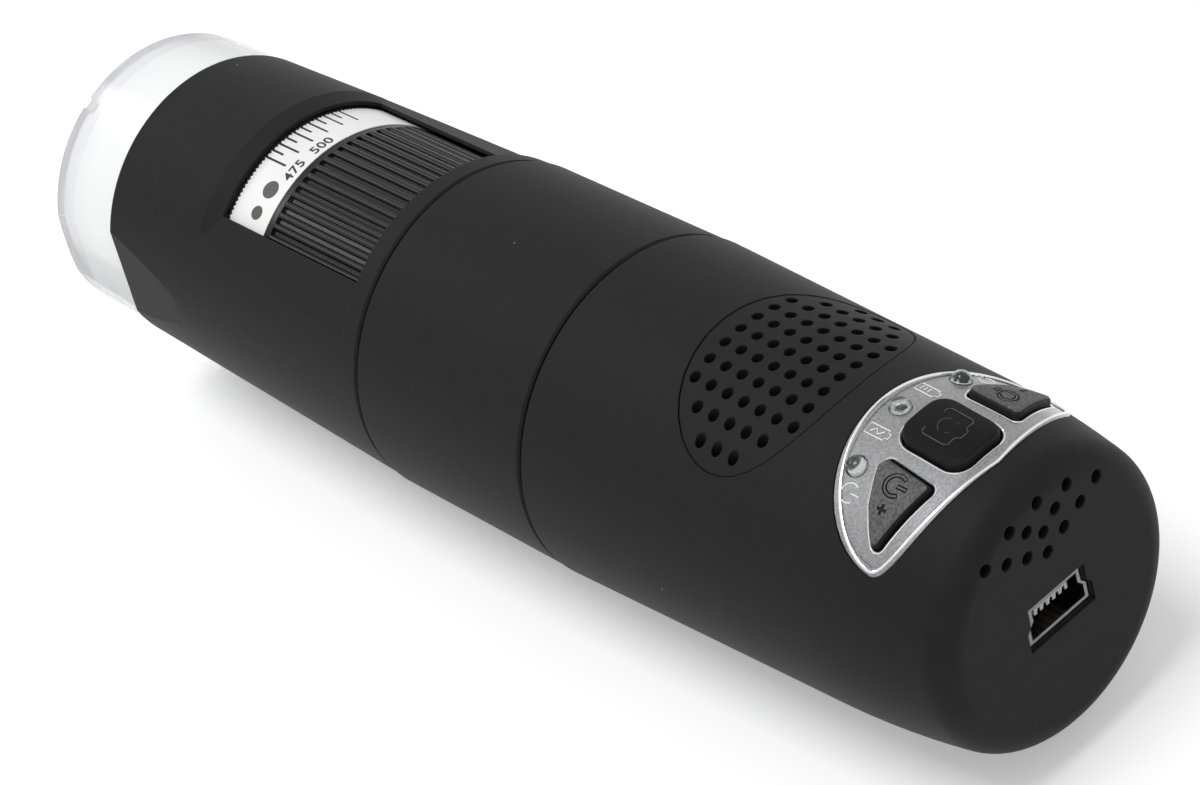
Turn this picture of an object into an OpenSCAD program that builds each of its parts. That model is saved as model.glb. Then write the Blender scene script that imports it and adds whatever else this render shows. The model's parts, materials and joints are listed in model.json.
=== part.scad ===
// Hand-held digital microscope with a round, tapered body.
// It lies along Y: the lens end points to +Y, the buttons face +Z. Sizes are in millimetres.

/* [Body] */
// Largest diameter, at the rear seam
body_d = 35; // [34.5:0.1:37]
// Length of the rear housing, from its seam to the end face
rear_len = 52; // [51:0.5:58]
// Length of the middle sleeve
sleeve_len = 24.5; // [23:0.5:30]
// Length of the front housing, from its seam to the rim
front_len = 43; // [42:0.5:48]
// Length of the clear hood in front of the rim
hood_len = 10.6; // [8:0.2:16]
// Wall of the housings
wall = 1.8; // [1.6:0.05:2]
// Wall of the rear end face
end_wall = 2.2; // [1.8:0.1:2.6]
// Taper of the rear housing, in degrees
rear_taper = 1.95; // [1.6:0.05:2.1]
// Length of the stretch before the end face that draws in
draw_in_len = 16; // [12:0.5:18]
// Radius of the drawn-in stretch
draw_in_r = 90; // [75:5:150]
// Fillet round the end face
end_fillet = 3; // [2.5:0.25:4]
// Taper of the front housing, in degrees
front_taper = 1.8; // [1.5:0.05:2]
// Taper of the hood, in degrees
hood_taper = 1.24; // [0.6:0.02:2]
// Step from the rear housing down to the sleeve, on the radius
sleeve_step = 0.1; // [0.05:0.05:0.3]
// Step from the sleeve down to the front housing, on the radius
front_step = 0.12; // [0.05:0.01:0.3]
// Step from the rim down to the hood, on the radius
hood_step = 0.18; // [0.05:0.01:0.4]
// Gap left at each seam
seam_gap = 0.3; // [0.1:0.05:0.6]
// Broken edge at each seam
edge_break = 0.25; // [0.1:0.05:0.5]

/* [Nose] */
// Length of the side flats, behind the rim
flat_len = 12; // [8:0.5:16]
// Depth of the side flats at the rim
flat_depth = 0.87; // [0.5:0.01:1]
// Angle of the side flats from the top, in degrees
flat_angle = 88; // [80:1:95]
// Wall of the nose at the rim
nose_wall = 1.63; // [1.5:0.01:1.8]
// Wall of the hood at the rim
hood_wall = 2.85; // [2.4:0.05:3]
// Length of the hood's spigot inside the nose
hood_spigot = 4.5; // [3:0.25:5.5]
// Chamfer on the hood's front edge
hood_chamfer = 0.4; // [0.2:0.05:0.6]
// Width of the notch in the hood's front edge
notch_w = 1.3; // [0.8:0.1:2]
// Depth of the notch in the hood's front edge
notch_depth = 0.8; // [0.4:0.1:1.5]
// Angle of the notch from the top, in degrees
notch_angle = -27; // [-60:1:60]

/* [Focus dial] */
// Distance from the front seam to the window
window_setback = 2.5; // [2.3:0.1:3.5]
// Length of the window
window_len = 23; // [22:0.5:24]
// Half angle of the window
window_half = 43; // [35:1:45]
// Length of the bevel in front of the window
bevel_len = 2.2; // [1.5:0.1:3]
// Angle that the bevel takes at each side
bevel_angle = 11; // [8:1:13]
// Gap round the dial
dial_gap = 0.3; // [0.25:0.05:0.4]
// Number of ribs on the dial
rib_count = 76; // [60:1:84]
// Radius of one rib
rib_r = 0.4; // [0.3:0.02:0.42]
// Width of the white scale band
scale_w = 6.2; // [5:0.2:7]
// Thickness of the scale band
scale_t = 0.8; // [0.6:0.05:1]
// Smooth ledge between the ribs and the scale
ledge_w = 0.8; // [0.4:0.1:1.2]
// Thickness of the dial's rim under its ribs
rim_t = 1.9; // [1.7:0.1:2.2]
// Thickness of the dial's hub
hub_t = 2.35; // [2.2:0.05:2.6]
// Length of the dial's hub
hub_len = 17.1; // [16:0.1:18]
// Turn of the dial back from rest to the low end of its scale, in degrees
dial_back = 262; // [240:1:270]
// Turn of the dial on from rest to the high end of its scale, in degrees
dial_on = 12; // [8:1:15]
// Travel of the lens for one radian of the dial
lens_pitch = 2.2; // [2:0.05:2.3]

/* [Optics] */
// Gap between the dial's hub and its rim
hub_gap = 0.94; // [0.8:0.02:1.1]
// Wall of the guide tube, on which the dial turns
guide_wall = 2; // [1.8:0.05:2.2]
// Running clearance of dial and barrel, on the radius
run_gap = 0.06; // [0.04:0.01:0.09]
// Length of the lens barrel
barrel_len = 14.5; // [13.5:0.25:15]
// Wall of the lens barrel
barrel_wall = 1.7; // [1.5:0.1:1.9]
// Diameter of the drive pin
pin_d = 2; // [1.8:0.1:2.2]
// Gap round the drive pin in its slot and in the dial's groove
pin_gap = 0.35; // [0.3:0.05:0.4]
// Thickness of the front lens at its middle
front_lens_t = 2.4; // [2:0.1:2.8]
// Thickness of the rear lens at its middle
rear_lens_t = 2; // [1.6:0.1:2.4]
// Radius of the lens faces
lens_face_r = 30; // [26:1:40]
// Number of lamps round the lens
lamp_count = 8; // [6:1:10]
// Diameter of one lamp
lamp_d = 3; // [2.4:0.1:3.2]
// Length of one lamp
lamp_len = 3.6; // [3:0.1:4]
// Gap between the lamps and the hood
lamp_gap = 1; // [0.8:0.05:1.2]
// Gap at the corners of the image sensor
sensor_gap = 0.64; // [0.5:0.02:0.9]

/* [Panel and buttons] */
// Half width of the panel, measured round the body
panel_reach = 14.67; // [14:0.01:15.4]
// Distance from the end face to the panel's rear edge
panel_setback = 3.7; // [3.4:0.1:4.2]
// Length of the panel along the body
panel_len = 13.7; // [13.2:0.1:14.2]
// Distance from the panel's rear edge forwards to its two tips
panel_tip = 5.1; // [4.6:0.1:5.6]
// Curve of the panel's rear edge, from a straight slope at 1 to an ellipse at 2
panel_bow = 1.15; // [1:0.05:2]
// Thickness of the clear panel
panel_t = 1.2; // [1:0.05:1.3]
// Depth of the panel's face under the body
panel_sink = 0.05; // [0:0.05:0.3]
// Width of the raised border of the panel
border_w = 0.7; // [0.5:0.05:0.9]
// Gap round the panel and the grille
insert_gap = 0.15; // [0.1:0.01:0.25]
// Width of the ledge that the panel and the grille sit on
ledge = 0.6; // [0.5:0.05:0.8]
// Thickness of the silver film under the panel
film_t = 0.25; // [0.2:0.05:0.3]
// Distance from the end face to the middle of the buttons
button_setback = 9.2; // [9:0.1:9.4]
// Distance between the buttons, measured round the body
button_spacing = 8.21; // [8:0.05:8.6]
// Height of the buttons over the panel
button_proud = 0.9; // [0.8:0.05:1.3]
// Gap round each button
button_gap = 0.22; // [0.2:0.01:0.3]
// Travel of each button
button_travel = 0.5; // [0.3:0.05:0.6]
// Width of the middle button
capture_w = 6.4; // [5.8:0.1:6.5]
// Length of the middle button
capture_l = 7.5; // [7:0.1:7.6]
// Corner radius of the middle button
capture_r = 1.8; // [1.2:0.1:2.2]
// Reach of the side buttons towards the middle one
side_in = 2.7; // [2.5:0.05:2.75]
// Reach of the side buttons away from the middle one
side_out = 3.75; // [3.4:0.05:3.9]
// Half length of the side buttons
side_half = 2.4; // [2.2:0.05:2.5]
// Corner radius of the side buttons
side_r = 0.45; // [0.4:0.05:0.5]
// Diameter of the indicator domes
dome_d = 1.7; // [1.4:0.1:1.9]
// Distance between the indicator domes, measured round the body
dome_spacing = 6.82; // [6.6:0.05:7.2]
// Distance from the end face to the middle dome
dome_setback = 15.2; // [15:0.1:15.4]
// Distance that the outer domes stand behind the middle one
dome_drop = 0.7; // [0.4:0.1:0.9]

/* [Grille] */
// Distance from the end face to the middle of the grille
grille_setback = 28.9; // [28:0.1:30]
// Half width of the grille, measured round the body
grille_reach = 13.5; // [12:0.05:14]
// Half length of the grille along the body
grille_b = 8.5; // [8.3:0.1:9]
// Thickness of the grille plate
grille_t = 1.4; // [1.2:0.05:1.45]
// Diameter of the grille holes
grille_hole_d = 1.15; // [1:0.05:1.5]
// Pitch of the grille holes, along and across the body
grille_pitch = 2.09; // [2:0.01:2.2]

/* [End face] */
// Diameter of the vent holes
vent_d = 1.3; // [1:0.05:1.5]
// Sideways pitch of the outer row of vents
vent_pitch = 2.37; // [2.2:0.01:2.4]
// Distance from the end's edge to the top vent
vent_edge = 2.26; // [2:0.02:2.5]
// Height of the socket over the axis
usb_lift = 0; // [0:0.05:0.4]
// Width of the socket's opening
usb_w = 6.9; // [6.7:0.05:7.1]
// Height of the socket's opening
usb_h = 3.1; // [3:0.05:3.2]
// Sheet thickness of the socket's shell
usb_t = 0.4; // [0.3:0.05:0.5]
// Length of the socket
usb_len = 9; // [8.4:0.1:9.4]
// Depth of the socket's mouth under the end face
usb_sink = 0.4; // [0.2:0.05:1]
// Gap round the socket in the end wall
usb_gap = 0.2; // [0.15:0.05:0.3]

/* [Inside] */
// Wall of the frame's tube
frame_wall = 1.5; // [1.3:0.05:1.6]
// Gap between parts that plug together, on the radius
fit_gap = 0.05; // [0.03:0.01:0.08]
// Depth of the frame's tube in the rear housing
socket_depth = 8; // [6:0.25:9]
// Depth of the frame's tube in the front housing
spigot_depth = 2; // [1.6:0.1:2.2]
// Thickness of the frame's bulkhead and the flange that it carries
bulkhead_t = 2; // [1.6:0.1:2.4]
// Thickness of the boards
board_t = 1.2; // [1:0.05:1.4]
// Gap between the main board and the frame's tube
board_gap = 2.5; // [2.3:0.1:3.2]
// Thickness of the frame's plate under the main board
plate_t = 1; // [0.8:0.05:1.2]
// Gap between the battery's sides and the frame's tube
cell_gap = 5.2; // [5:0.1:6]
// Length of the battery
cell_len = 34; // [28:0.5:35]
// Thickness of the battery
cell_t = 5.8; // [5:0.1:6]
// Thickness of the foam tape over the battery
tape_t = 0.55; // [0.3:0.05:0.6]
// Distance from the end face to the frame's plate
plate_setback = 12; // [11:0.5:13]
// Distance from the plate's rear end to its screws
screw_setback = 4; // [3.5:0.1:4.5]
// Distance from the main board's front end to its screws
front_screw_setback = 7; // [6.5:0.1:8]
// Length of the chips on the main board
chip_len = 8; // [7:0.25:9]
// Height of the chips
chip_h = 1.2; // [1:0.1:1.6]
// Gap between the parts on the main board
part_gap = 3; // [2.6:0.1:3.4]
// Height of the wifi module
wifi_h = 2.4; // [2:0.1:3]
// Width of the antenna
antenna_w = 4; // [3:0.1:4.2]
// Thickness of the antenna
antenna_t = 0.8; // [0.6:0.1:1.2]
// Diameter of the screws
screw_d = 2; // [1.8:0.1:2.2]

/* [Hidden] */
$fn = 96;

// Colours
soft_black = [0.09, 0.09, 0.09];
key_black = [0.14, 0.14, 0.14];
clear_tint = [0.85, 0.88, 0.9, 0.45];
silver = [0.72, 0.72, 0.72];
steel = [0.8, 0.8, 0.82];
brass_gold = [0.83, 0.66, 0.27];
board_green = [0.1, 0.35, 0.2];
frame_grey = [0.35, 0.35, 0.37];

// Places along the axis, counted forwards from the rear seam
over = 1;
corner_steps = 8;
body_r = body_d / 2;
draw_in_start = rear_len - draw_in_len;
rear_knots = concat([0], steps(draw_in_start, rear_len, 10));
rear_table = [for (t = rear_knots) [t, rear_curve(t)]];
sleeve_r = body_r - sleeve_step;
front_seam_r = sleeve_r - front_step;
y_end = -rear_len;
y_seam = sleeve_len;
y_rim = y_seam + front_len;
y_nose = y_rim + hood_len;
mid_y = (y_nose + y_end) / 2;
half_gap = seam_gap / 2;
axis_h = rear_r(half_gap + edge_break);
y_window = y_seam + window_setback;
y_window_front = y_window + window_len;
y_dial = y_window + dial_gap;
y_dial_front = y_window_front + dial_gap;
y_scale = y_dial_front - scale_w;

// Radii of the shells and of what plugs into them
socket_r = sleeve_r - wall - fit_gap;
core_r = socket_r - fit_gap;
core_in_r = core_r - frame_wall;
y_core = y_seam + spigot_depth;
dial_r = socket_r - dial_gap;
rim_r = front_r(y_rim);
hood_r = rim_r - hood_step;
nose_bore_r = rim_r - nose_wall;
hood_bore_r = hood_r - hood_wall;

// Optical column
rim_in_r = dial_r - rim_t;
hub_r = rim_in_r - hub_gap;
guide_r = hub_r - hub_t - run_gap;
guide_bore_r = guide_r - guide_wall;
sensor_board_r = guide_bore_r + 0.8;
barrel_r = guide_bore_r - run_gap;
barrel_bore_r = barrel_r - barrel_wall;
pin_r = pin_d / 2;
slot_r = pin_r + pin_gap;
groove_floor_r = hub_r - 0.75;
y_bulkhead = y_core - spigot_depth - 3.5 - bulkhead_t;
y_sensor = y_bulkhead + bulkhead_t;
y_flange = y_sensor + board_t + 1.8;
y_shoulder = y_flange + 4.4;
washer_t = 0.4;
washer_gap = 0.1;
y_hub = y_shoulder + washer_t + washer_gap;
y_hub_front = y_hub + hub_len;
clip_t = 1;
clip_gap = 0.25;
clip_depth = 0.6;
clip_out = 1.4;
back_travel = dial_back * lens_pitch * PI / 180;
on_travel = dial_on * lens_pitch * PI / 180;
y_pin = y_hub_front - slot_r - on_travel - 1.2;
y_barrel = y_pin - pin_r - 0.7;
y_barrel_front = y_barrel + barrel_len;
y_guide_front = y_barrel_front + on_travel + 3.4;
y_lamps = y_guide_front + board_t;
lens_stop = 1.2;
lamp_ring_r = hood_bore_r - lamp_gap - lamp_d / 2;
step_bore_r = guide_bore_r - 1;
sensor_w = sqrt(2) * (step_bore_r - sensor_gap);

// Panel and buttons
panel_rear = rear_len - panel_setback;
button_mid = rear_len - button_setback;
dome_mid = rear_len - dome_setback;
grille_mid = rear_len - grille_setback;
panel_r = rear_r(panel_rear - panel_len / 2);
panel_half = arc_angle(panel_reach, panel_r);
button_pitch = arc_angle(button_spacing, panel_r);
dome_pitch = arc_angle(dome_spacing, panel_r);
grille_half = arc_angle(grille_reach, rear_r(grille_mid));
beta = atan(tan(rear_taper) + (rear_len - end_fillet - draw_in_start) / draw_in_r);
insert_depth = panel_t + panel_sink;
film_low = insert_depth + film_t;
seat_gap = 0.03;
key_slope = tan(rear_taper) + (button_mid - draw_in_start) / draw_in_r;
key_r = rear_r(button_mid) - panel_sink + button_proud;
key_base = rear_r(panel_rear) - wall - 1.1;
key_cap = key_base + 0.8;
stem_inset = 0.35;
flange_t = 0.7;
flange_reach = 0.5;
flange_inset = 0.4;
plunger_r = 1;
plunger_len = 1.5;
switch_w = 4.4;
switch_t = 1.4;
switch_top = key_base - button_travel - 0.5;
switch_low = switch_top - switch_t;
strip_r = switch_low;
strip_low = strip_r - 1;
y_strip = 0.6 - panel_rear;
y_strip_front = 1.6 - dome_mid;
strip_reach = sqrt(pow(rear_r(-y_strip) - wall - 0.25, 2) - pow(strip_r, 2));
rail_t = 1.2;
lamp_chip_t = 0.7;
dome_low = strip_r + lamp_chip_t + 0.4;

// Main board, frame plate and battery, as heights over the axis
board_top = -usb_h / 2 - usb_t + usb_lift;
board_low = board_top - board_t;
plate_low = board_low - plate_t;
tape_low = plate_low - tape_t;
y_board = y_end + end_wall + 1.4;
y_board_front = -2;
y_plate = y_end + plate_setback;
y_chips = y_plate + 2;
y_plate_front = y_bulkhead - 10;
screw_r = screw_d / 2;
board_w = 2 * (core_in_r - board_gap);
cell_w = 2 * (core_in_r - cell_gap);
head_r = screw_r * 1.75;
head_t = screw_d * 0.6;
flange_screw_r = (guide_r + core_in_r) / 2;
board_screw_x = board_w / 2 - head_r - 0.4;
y_front_screw = y_board_front - front_screw_setback;
board_screw_ys = [y_plate + screw_setback, y_front_screw];
cell_front = -3;
connector_w = 8;
connector_t = 1.4;
connector_l = 3;
flex_w = 6;
flex_t = 0.3;

function arc_angle(length, r) = length * 180 / (PI * r);
function polar(r, a) = [r * sin(a), r * cos(a)];
function front_r(y) = front_seam_r - (y - y_seam) * tan(front_taper);
function rear_curve(t) = body_r - t * tan(rear_taper) - pow(max(0, t - draw_in_start), 2) / (2 * draw_in_r);
function rear_r(t) = lookup(t, rear_table);
function steps(a, b, n) = [for (i = [0:n]) a + (b - a) * i / n];
function rear_steps(a, b) = concat([a], [for (t = rear_knots) if (t > a && t < b) t], [b]);
function reversed(list) = [for (i = [len(list) - 1:-1:0]) list[i]];

// Everything is drawn about the body's axis, then lifted on to the floor
module in_place() { translate([0, -mid_y, axis_h]) children(); }

// A flat outline in X and Z, drawn out along the axis
module along_y(y0, y1) {
  translate([0, y1, 0]) rotate([90, 0, 0]) linear_extrude(height = y1 - y0) children();
}

// An outline in radius and axis, turned about the axis
module spin() { rotate([-90, 0, 0]) rotate_extrude() children(); }

module tube(r_out, r_in, y0, y1) {
  along_y(y0, y1) difference() {
    circle(r_out);
    circle(r_in);
  }
}

module rod(r, y0, y1) { along_y(y0, y1) circle(r); }

module block(w, y0, y1, z0, z1) { translate([-w / 2, y0, z0]) cube([w, y1 - y0, z1 - z0]); }

// A convex outline, listed anticlockwise, with its corners rounded outwards by r
function facing(p, q) = atan2(q[1] - p[1], q[0] - p[0]) - 90;
function rounded_points(points, r) = [
  let (n = len(points))
  for (i = [0:n - 1])
    let (a = facing(points[(i + n - 1) % n], points[i]), b = facing(points[i], points[(i + 1) % n]))
    let (turn = b - a - 360 * floor((b - a) / 360))
    for (k = [0:corner_steps])
      points[i] + r * [cos(a + turn * k / corner_steps), sin(a + turn * k / corner_steps)]
];
module rounded(points, r) { polygon(rounded_points(points, r)); }

// Rear shell

module rear_outline(inset, end_inset, t0) {
  f = end_fillet - inset;
  y_low = y_end + end_inset;
  t1 = -y_low - f + f * sin(beta);
  centre = [rear_r(t1) - inset - f * cos(beta), y_low + f];
  side = [for (t = rear_steps(t0, t1)) [rear_r(t) - inset, -t]];
  polygon(concat([[0, -t0]], side, [centre, [centre[0], y_low], [0, y_low]]));
  translate(centre) circle(f);
}

// A layer of the rear shell between two depths under its surface
module rear_layer(top, low, t0, t1) {
  spin() polygon(concat(
    [for (t = rear_steps(t0, t1)) [rear_r(t) - top, -t]],
    [for (t = reversed(rear_steps(t0, t1))) [rear_r(t) - low, -t]]
  ));
}

// The panel's outline from above, drawn in by inset
function panel_x(a) = panel_r * sin(a);
function panel_angle(inset) = panel_half - arc_angle(inset, panel_r);
function panel_front(a, inset) = panel_tip - panel_rear
  + (panel_len - panel_tip - inset) * sqrt(max(0, 1 - pow(abs(a) / panel_angle(inset), 2)));
function panel_back(a, inset) = panel_tip - panel_rear
  - (panel_tip - inset) * sqrt(max(0, 1 - pow(abs(a) / panel_angle(inset), panel_bow)));
module panel_outline(inset) {
  fan = [for (u = steps(-90, 90, 28)) panel_angle(inset) * sin(u)];
  polygon(concat(
    [for (a = fan) [panel_x(a), panel_front(a, inset)]],
    [for (i = [len(fan) - 2:-1:1]) [panel_x(fan[i]), panel_back(fan[i], inset)]]
  ));
}

// The grille's outline from above, drawn in by inset
function grille_angle(inset) = grille_half - arc_angle(inset, rear_r(grille_mid));
module grille_outline(inset) {
  polygon([for (u = [0:10:350])
    [rear_r(grille_mid) * sin(grille_angle(inset) * cos(u)), (grille_b - inset) * sin(u) - grille_mid]]);
}

// Two-step seat for an insert that lies in the rear shell
module panel_seat() {
  intersection() {
    rear_layer(-over, insert_depth + seat_gap, panel_rear - panel_len - over, panel_rear + over);
    linear_extrude(height = body_r + over) panel_outline(-insert_gap);
  }
  linear_extrude(height = body_r + over) panel_outline(ledge);
}

module grille_seat() {
  t0 = grille_mid - grille_b - over;
  intersection() {
    rear_layer(-over, grille_t + seat_gap, t0, grille_mid + grille_b + over);
    linear_extrude(height = body_r + over) grille_outline(-insert_gap);
  }
  linear_extrude(height = body_r + over) grille_outline(ledge);
}

// The socket's outline in X and Z, grown by g
function usb_points(g) =
  let (w = usb_w / 2 + g, n = usb_w / 2 - 0.55 + g)
  let (b = usb_lift - usb_h / 2 - g, t = usb_lift + usb_h / 2 + g)
  let (s = usb_lift - 0.2, k = s + 0.6)
  [[-w, b], [w, b], [w, s], [n, k], [n, t], [-n, t], [-n, k], [-w, s]];

module vents() {
  vent_low = rear_r(rear_len) - vent_edge - 2.36 * vent_pitch;
  outer = [for (i = [-3:3]) [i * vent_pitch, vent_low + abs(i) * vent_pitch * 0.46]];
  inner = [for (i = [-2:2]) [i * vent_pitch * 0.77, vent_low + (0.97 + abs(i) * 0.56) * vent_pitch]];
  top = [[0, vent_low + vent_pitch * 2.36]];
  for (p = concat(outer, inner, top)) translate(p) circle(vent_d / 2, $fn = 32);
}

// Rails inside the rear shell that carry the ends of the button board
module strip_rails() intersection() {
  spin() rear_outline(wall / 2, end_wall / 2, 0);
  for (s = [0, 1]) mirror([s, 0, 0]) rotate([0, button_pitch, 0])
    translate([strip_reach - 1, y_strip, strip_low - rail_t]) cube([body_r, y_strip_front - y_strip, rail_t]);
}

module rear_housing() color(soft_black) in_place() {
  rear_shell();
  strip_rails();
}

module rear_shell() difference() {
  spin() intersection() {
    rear_outline(0, 0, 0);
    polygon([[0, -half_gap], [rear_r(0) - edge_break, -half_gap],
      [rear_r(0), -half_gap - edge_break], [rear_r(0), y_end], [0, y_end]]);
  }
  rod(socket_r, -socket_depth - half_gap, over);
  spin() rear_outline(wall, end_wall, socket_depth);
  panel_seat();
  at_domes() cylinder(d = dome_d + 2 * insert_gap, h = body_r, $fn = 32);
  grille_seat();
  along_y(y_end - over, y_end + end_wall + end_fillet) vents();
  along_y(y_end - over, y_end + end_wall + over) polygon(usb_points(usb_t + usb_gap));
  along_y(y_end - over, y_end + usb_sink) polygon(usb_points(usb_t + usb_gap + 0.15));
}

module grille_plate() color(soft_black) in_place() difference() {
  half_x = rear_r(grille_mid) * sin(grille_half) - 0.75;
  half_y = grille_b - 0.75;
  intersection() {
    rear_layer(0.05, grille_t, grille_mid - grille_b, grille_mid + grille_b);
    linear_extrude(height = body_r + over) grille_outline(0);
  }
  for (i = [-5:5], j = [-3:3]) {
    x = i * grille_pitch;
    y = j * grille_pitch;
    if (pow(x / half_x, 2) + pow(y / half_y, 2) <= 1)
      translate([x, y - grille_mid, body_r / 2]) cylinder(d = grille_hole_d, h = body_r, $fn = 32);
  }
}

// Buttons, each drawn upright and then turned about the axis to its place

capture_points = [for (s = [[-1, 1], [-1, -1], [1, -1], [1, 1]])
  [s[0] * (capture_w / 2 - capture_r), s[1] * (capture_l / 2 - capture_r) - button_mid]];
side_points = [for (p = [
    [side_in, 1.02 * side_half], [0.85 * side_in, 1.1 * side_half], [-0.2 * side_out, 0.64 * side_half],
    [-0.73 * side_out, 0.16 * side_half], [-side_out, -0.125 * side_half],
    [0.81 * side_in, -0.875 * side_half]
  ]) [p[0], p[1] - button_mid]];
side_flange = 0.78 * side_in;

function mirrored(points) = [for (i = [len(points) - 1:-1:0]) [-points[i][0], points[i][1]]];

module key(points, r, angle, half_w) {
  ys = [for (p = points) p[1]];
  rotate([0, angle, 0]) {
    intersection() {
      translate([0, 0, key_cap]) linear_extrude(height = body_r) rounded(points, r);
      spin() polygon([for (e = [[0, -8], [1, -8], [1, 8], [0, 8]])
        [e[0] * (key_r + e[1] * key_slope), e[1] - button_mid]]);
    }
    translate([0, 0, key_base]) linear_extrude(height = key_cap - key_base + 0.2)
      rounded(points, r - stem_inset);
    translate([-half_w, min(ys) - r - flange_reach, key_base])
      cube([2 * half_w, max(ys) - min(ys) + 2 * (r + flange_reach), flange_t]);
  }
}

module key_hole(points, r, angle, gap) {
  rotate([0, angle, 0]) linear_extrude(height = body_r + over) rounded(points, r + gap);
}

module key_holes(gap) {
  key_hole(side_points, side_r, -button_pitch, gap);
  key_hole(capture_points, capture_r, 0, gap);
  key_hole(mirrored(side_points), side_r, button_pitch, gap);
}

module power_button() color(key_black) in_place() key(side_points, side_r, -button_pitch, side_flange);
module capture_button() color(key_black) in_place()
  key(capture_points, capture_r, 0, capture_w / 2 - flange_inset);
module light_button() color(key_black) in_place()
  key(mirrored(side_points), side_r, button_pitch, side_flange);

module plunger(angle) {
  rotate([0, angle, 0]) translate([0, -button_mid, key_base - plunger_len])
    cylinder(r = plunger_r, h = plunger_len);
}

module power_plunger() color("white") in_place() plunger(-button_pitch);
module capture_plunger() color("white") in_place() plunger(0);
module light_plunger() color("white") in_place() plunger(button_pitch);

module at_domes() {
  for (s = [-1, 0, 1]) rotate([0, s * dome_pitch, 0])
    translate([0, -dome_mid - abs(s) * dome_drop, 0]) children();
}

module button_panel() color(clear_tint) in_place() difference() {
  union() {
    intersection() {
      rear_layer(panel_sink, insert_depth, panel_rear - panel_len, panel_rear);
      linear_extrude(height = body_r + over) panel_outline(0);
    }
    intersection() {
      rear_layer(-0.05, insert_depth, panel_rear - panel_len, panel_rear);
      linear_extrude(height = body_r + over) difference() {
        panel_outline(0);
        panel_outline(border_w);
      }
    }
  }
  key_holes(button_gap);
  at_domes() cylinder(d = dome_d + 2 * insert_gap, h = body_r, $fn = 32);
}

module panel_film() color(silver) in_place() difference() {
  intersection() {
    rear_layer(insert_depth, film_low, panel_rear - panel_len, panel_rear);
    linear_extrude(height = body_r + over) panel_outline(ledge + insert_gap);
  }
  key_holes(button_gap);
  at_domes() cylinder(d = dome_d + 0.04, h = body_r, $fn = 32);
}

module indicator_domes() color(clear_tint) in_place() at_domes() {
  crown = rear_r(dome_mid + dome_drop) - panel_sink - 0.3;
  translate([0, 0, dome_low]) cylinder(d = dome_d, h = crown - dome_low, $fn = 32);
  translate([0, 0, crown]) sphere(d = dome_d, $fn = 32);
}

function flat_end(r, x, s) =
  let (c = cos(button_pitch), n = sin(button_pitch)) [s * (x * c + r * n), r * c - x * n];

// The button board is a strip bent to three flats, which reaches from wall to wall
module button_board() color(board_green) in_place() along_y(y_strip, y_strip_front) {
  half = button_pitch / 2;
  polygon([
    flat_end(strip_low, strip_reach, -1), flat_end(strip_r, strip_reach, -1),
    polar(strip_r / cos(half), -half), polar(strip_r / cos(half), half),
    flat_end(strip_r, strip_reach, 1), flat_end(strip_low, strip_reach, 1),
    polar(strip_low / cos(half), half), polar(strip_low / cos(half), -half)
  ]);
}

module tact_switches() color("dimgray") in_place() for (a = [-button_pitch, 0, button_pitch])
  rotate([0, a, 0]) translate([0, -button_mid, 0]) difference() {
    translate([-switch_w / 2, -switch_w / 2, switch_low]) cube([switch_w, switch_w, switch_t]);
    translate([0, 0, switch_low + 0.2]) cylinder(r = plunger_r + 0.3, h = switch_t);
  }

module indicator_lamps() color("white") in_place() for (s = [-1, 0, 1])
  rotate([0, s * button_pitch, 0])
    translate([-s * strip_r * tan(button_pitch - dome_pitch), -dome_mid - abs(s) * dome_drop, strip_r])
      translate([-0.8, -0.4, 0]) cube([1.6, 0.8, lamp_chip_t]);

// Sleeve, front housing and hood

module middle_sleeve() color(soft_black) in_place() difference() {
  spin() polygon([
    [0, half_gap], [sleeve_r - edge_break, half_gap], [sleeve_r, half_gap + edge_break],
    [sleeve_r, y_seam - half_gap - edge_break], [sleeve_r - edge_break, y_seam - half_gap],
    [0, y_seam - half_gap]
  ]);
  rod(socket_r, -over, y_seam + over);
}

// The cut of the dial window, with a bevel in front of it and at both sides
module window_cut() {
  lip = socket_r + 0.4;
  brink = front_r(y_window_front + bevel_len);
  foot = polar(lip, window_half);
  brow = polar(front_r(y_window_front), window_half + bevel_angle);
  run = (brow - foot) * 3;
  far = foot + run;
  inner = polar(rim_in_r, window_half);
  intersection() {
    spin() polygon([
      [rim_in_r, y_window], [rim_in_r, y_window_front], [lip, y_window_front],
      [lip + 2 * (brink - lip), y_window_front + 2 * bevel_len],
      [body_r + over, y_window_front + 2 * bevel_len],
      [body_r + over, y_window]
    ]);
    along_y(y_window - over, y_window_front + 2 * bevel_len + over) polygon([
      inner, foot, far, [far[0], body_d], [-far[0], body_d], [-far[0], far[1]], [-foot[0], foot[1]],
      [-inner[0], inner[1]]
    ]);
  }
}

// The flats slope into the nose from both sides
module nose_flats() {
  slope = atan((front_r(y_rim - flat_len) - rim_r + flat_depth) / flat_len);
  for (s = [-1, 1]) rotate([0, s * flat_angle, 0])
    translate([-body_r, y_rim - flat_len, front_r(y_rim - flat_len)]) rotate([-slope, 0, 0])
      translate([0, -flat_len / 2, 0]) cube([body_d, 2 * flat_len, body_d]);
}

// The hood's flats run on from the rim, along the axis
module hood_flats() {
  for (s = [-1, 1]) rotate([0, s * flat_angle, 0])
    block(body_d, y_rim, y_nose + over, rim_r - flat_depth, body_d);
}

module front_housing() color(soft_black) in_place() difference() {
  y0 = y_seam + half_gap;
  spin() polygon([
    [0, y0], [front_r(y0) - edge_break, y0], [front_r(y0 + edge_break), y0 + edge_break],
    [rim_r, y_rim], [0, y_rim]
  ]);
  rod(socket_r, y0 - over, y_dial_front + dial_gap);
  rod(nose_bore_r, y0 - over, y_rim + over);
  window_cut();
  nose_flats();
}

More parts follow.
